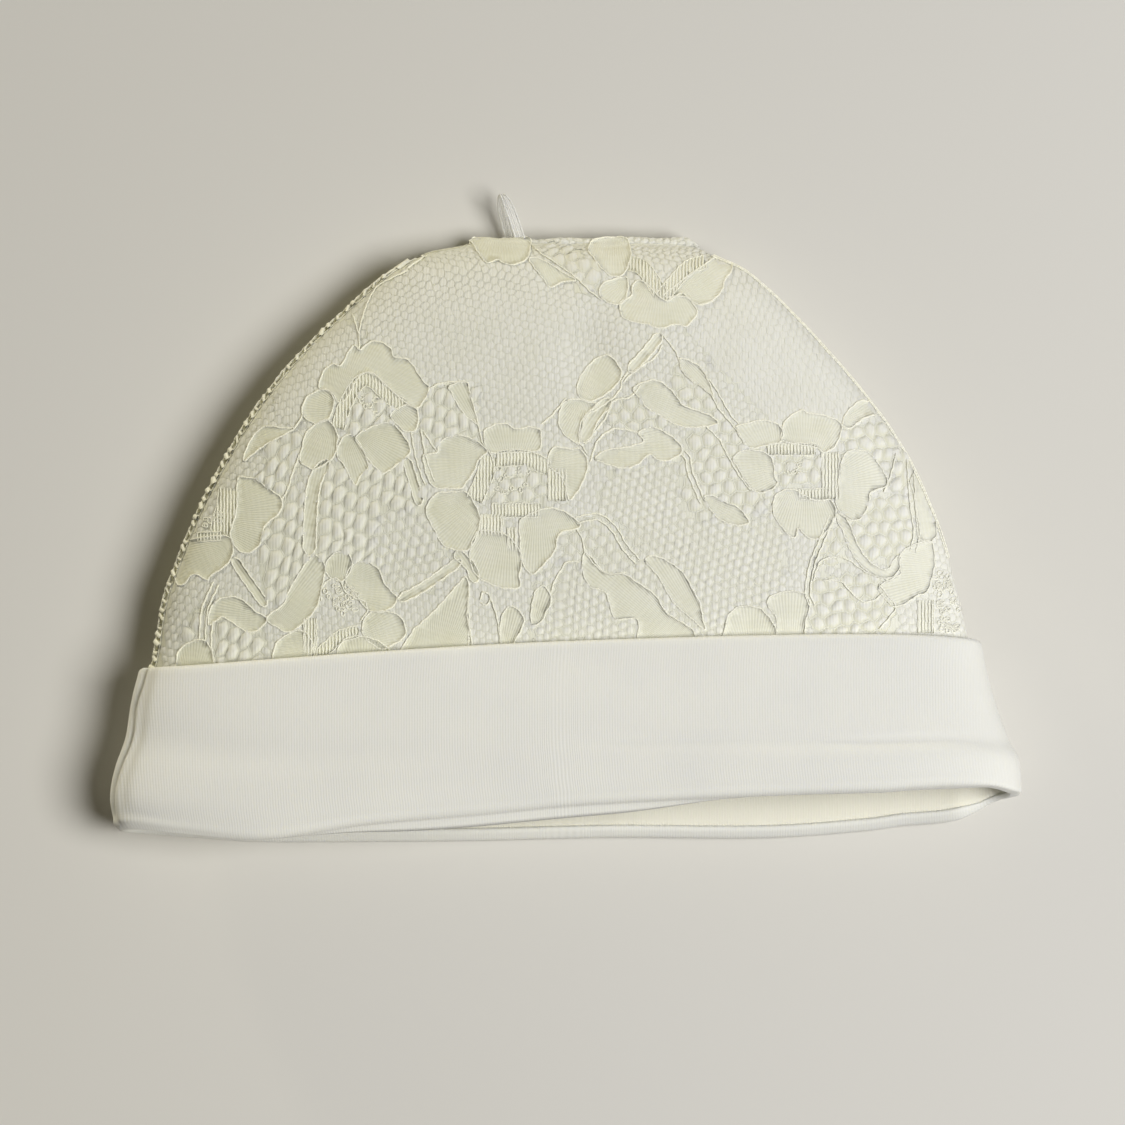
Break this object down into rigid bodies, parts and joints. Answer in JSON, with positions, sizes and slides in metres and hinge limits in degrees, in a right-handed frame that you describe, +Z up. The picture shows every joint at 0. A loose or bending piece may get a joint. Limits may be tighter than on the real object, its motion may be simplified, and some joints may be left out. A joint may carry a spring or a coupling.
{
  "type": "lace beanie",
  "caption": "Soft dome beanie lying flat on its back: floral lace over a jersey lining, a turned-up jersey cuff at the open mouth, and a narrow ribbon loop at the crown's top fold.",
  "frame": {"origin": "on the surface the hat lies on, under the middle of the cuff's flat back", "axes": "+Z up from that surface through the hat's front, +Y from the brim to the crown, +X along the brim to the right as seen from above"},
  "size_m": [0.1794, 0.1316, 0.0266],
  "materials": {
    "cuff_jersey": "matte fine-ribbed cotton jersey, off-white",
    "lining_jersey": "matte cotton jersey, white",
    "lace_thread": "matte lace with slightly glossy outline cords, pale greenish cream",
    "loop_ribbon": "sheer narrow ribbon, white"
  },
  "bodies": {
    "root": {"cuff": "cuff_jersey", "lining": "lining_jersey", "lace_crown": "lace_thread", "hang_loop": "loop_ribbon"}
  },
  "joints": []
}
